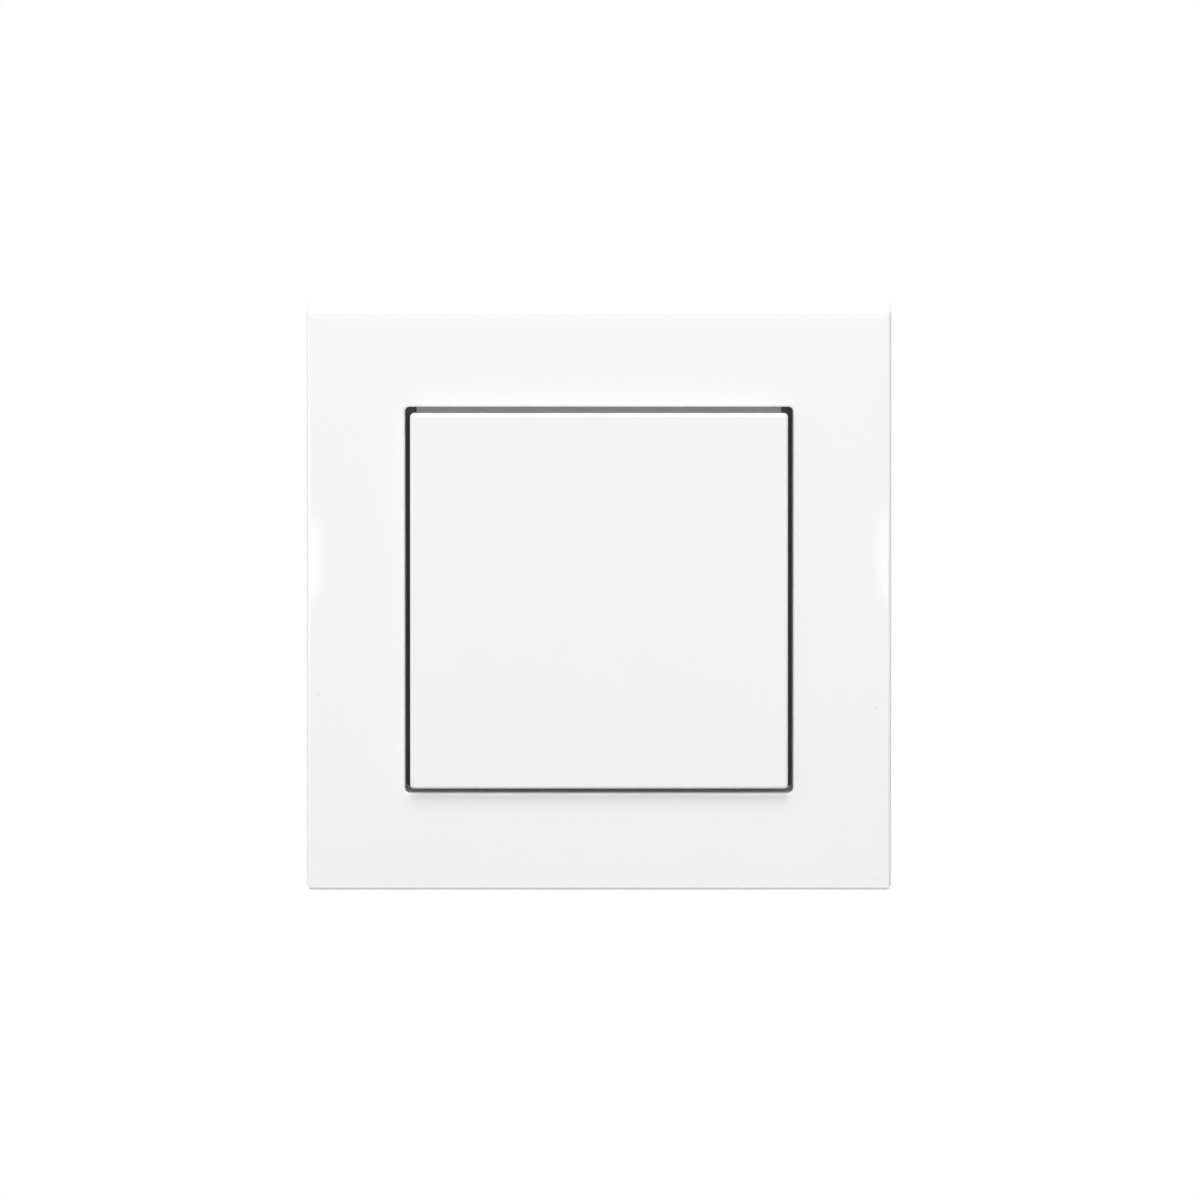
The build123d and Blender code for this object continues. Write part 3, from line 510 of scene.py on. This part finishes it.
tree, place = newFinish("copperWire")
acrossTurns = tree.along(place, "X") - coilLow[0]
# painted shade: the copper darkens towards the groove between each pair of turns
groove = 1 - acrossTurns.math("PINGPONG", acrossTurns, winding["wire"] / 2) * (2 / winding["wire"])
enamel = tree.noise(place, winding["enamelSize"], detail=3.0)
bright = tree.blend(enamel, winding["dark"], winding["light"])
shade = groove ** winding["grooveSharp"] * winding["grooveShare"]
copperFinish = tree.principled({
    "Base Color": tree.blend(shade, bright, winding["groove"]),
    "Metallic": 1.0,
    "Roughness": winding["rough"] + enamel * winding["roughSpread"],
    "Coat Weight": winding["coat"],
})
windingTurns = newPiece("windingTurns", points, faces.tolist(), copperFinish)
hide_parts("coil_winding")
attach(windingTurns, "housing")
print("winding done with", turns, "turns")

# Studio: white all round for what is seen and mirrored, but as light weaker from the right and from behind
studio = {"fill": 0.39, "tilt": (-0.26, -0.23, 0.04), "seen": 1.0}
world = bpy.data.worlds.new("whiteStudio")
scene.world = world
tree = Tree(world)
direction = tree.add("ShaderNodeTexCoord", None, None, "Generated")
leaning = {0: direction, 1: studio["tilt"]}
lean = tree.add("ShaderNodeVectorMath", {"operation": "DOT_PRODUCT"}, leaning, "Value")
strength = studio["seen"] + tree.unseen() * (lean + (studio["fill"] - studio["seen"]))
back = tree.add("ShaderNodeBackground", None, {"Color": grey(1.0), "Strength": strength})
tree.add("ShaderNodeOutputWorld", None, {"Surface": back})

# Round pale floor below the object: a grid of radii by angles at one height, fading to white at its rim
ground = {
    "height": -0.15, "radius": 0.4, "innerShare": 0.0005, "rings": 24, "sides": 96,
    "dark": grey(0.833), "light": grey(0.867), "speckleSize": 0.002, "bounce": grey(0.3),
    "fadeFrom": 0.4, "fadeTo": 0.98,
}
radii, angles = np.meshgrid(
    np.linspace(ground["innerShare"], 1, ground["rings"]) * ground["radius"],
    np.linspace(0, 2 * np.pi, ground["sides"], endpoint=False),
    indexing="ij",
)
level = np.full_like(radii, ground["height"])
points = np.stack((radii * np.cos(angles), radii * np.sin(angles), level), -1)
index = np.arange(radii.size).reshape(radii.shape)
nextSide = np.roll(index, -1, 1)
faces = np.stack((index[:-1], index[1:], nextSide[1:], nextSide[:-1]), -1).reshape(-1, 4)

tree, place = newFinish("paleFloor")
fromMiddle = tree.add("ShaderNodeVectorMath", {"operation": "LENGTH"}, {0: place}, "Value")
fadeFrom, fadeTo = (ground[end] * ground["radius"] for end in ("fadeFrom", "fadeTo"))
fade = {"Value": fromMiddle, "From Min": fadeFrom, "From Max": fadeTo}
rim = tree.add("ShaderNodeMapRange", {"interpolation_type": "SMOOTHSTEP"}, fade)
seen = 1 - tree.unseen()
speckle = tree.noise(place, ground["speckleSize"])
pale = tree.blend(speckle, ground["dark"], ground["light"])
matt = tree.add("ShaderNodeBsdfPrincipled", None, {
    "Base Color": tree.blend(seen, ground["bounce"], pale),
    "Roughness": 1.0,
    "Specular IOR Level": 0.0,
})
white = tree.add("ShaderNodeEmission", None, {"Color": grey(1.0), "Strength": 1.0})
upper = tree.add("ShaderNodeMixShader", None, {0: seen * rim, 1: matt, 2: white})
below = tree.add("ShaderNodeNewGeometry", None, None, "Backfacing")  # clear from below, so it hides nothing
clear = tree.add("ShaderNodeBsdfTransparent")
floorFinish = tree.finish(tree.add("ShaderNodeMixShader", None, {0: below, 1: upper, 2: clear}))
floor = newPiece("floor", points, faces.tolist(), floorFinish)
print("studio done")


def lamp(name, look):  # soft area lamp, aimed at a point
    data = bpy.data.lights.new(name, "AREA")
    data.shape = look.get("shape", "RECTANGLE")
    data.size, data.size_y = look["size"]
    data.energy = look["watts"]
    made = bpy.data.objects.new(name, data)
    made.location = look["place"]
    turn = (Vector(look["aim"]) - Vector(look["place"])).to_track_quat("-Z", "Y")
    roll = Euler((0, 0, math.radians(look.get("roll", 0)))).to_quaternion()
    made.rotation_euler = (turn @ roll).to_euler()
    made.visible_camera = False
    made.visible_diffuse = look.get("diffuse", True)
    scene.collection.objects.link(made)


overhead = {"place": (0, -0.727, 1.078), "aim": (0, 0, 0), "size": (0.7, 0.65), "watts": 8.06}
lamp("overhead", overhead)

frontSoftbox = {"place": (0.15, -1.4, 0.2), "aim": (0, 0, 0), "size": (0.5, 0.25), "watts": 5.45}
lamp("frontSoftbox", frontSoftbox)

# From behind and above, on the upper side only
rimLight = {"place": (0, 0.4, 0.55), "aim": (0, 0, 0.04), "size": (0.6, 0.3), "watts": 2.8}
lamp("rimLight", rimLight)

# Small lamps, only mirrored, that the crowned edges of the frame catch at mid height
for side in (-1, 1):
    edgeGlint = {
        "place": (side * 0.0503, -0.132, -0.008), "aim": (side * 0.041, -0.012, 0.0057), "roll": side * 25,
        "shape": "ELLIPSE", "size": (0.0095, 0.013), "watts": 0.00072, "diffuse": False,
    }
    lamp("edgeGlint", edgeGlint)
    edgeStreak = {
        "place": (side * 0.089, -0.122, -0.0085), "aim": (side * 0.041, -0.012, -0.0085),
        "shape": "ELLIPSE", "size": (0.06, 0.05), "watts": 0.019, "diffuse": False,
    }
    lamp("edgeStreak", edgeStreak)

# Reflector boards on the floor and at the left, only mirrored, for the light line along the rounded edges
lowReflector = {
    "place": (0, -0.23, -0.149), "aim": (0, -0.23, 0),
    "size": (0.14, 0.28), "watts": 0.38, "diffuse": False,
}
lamp("lowReflector", lowReflector)

leftReflector = {
    "place": (-0.25, -0.1, 0), "aim": (0, -0.1, 0),
    "size": (0.25, 0.2), "watts": 0.28, "diffuse": False,
}
lamp("leftReflector", leftReflector)
print("lamps done")

# Long lens, a few degrees above the middle of the face
view = {
    "lens": 1500.0, "sensor": 36.0, "wide": 0.17256, "clip": 20.0,
    "aim": (0.000144, -0.0121, -0.000035), "rise": 6.5,
}
camera = bpy.data.objects.new("camera", bpy.data.cameras.new("camera"))
camera.data.lens = view["lens"]
camera.data.sensor_width = view["sensor"]
camera.data.clip_end = view["clip"]
away = view["wide"] * view["lens"] / view["sensor"]
rise = math.radians(view["rise"])
camera.location = Vector(view["aim"]) + away * Vector((0, -math.cos(rise), math.sin(rise)))
camera.rotation_euler = (math.radians(90) - rise, 0, 0)
scene.collection.objects.link(camera)
scene.camera = camera
print("camera done")
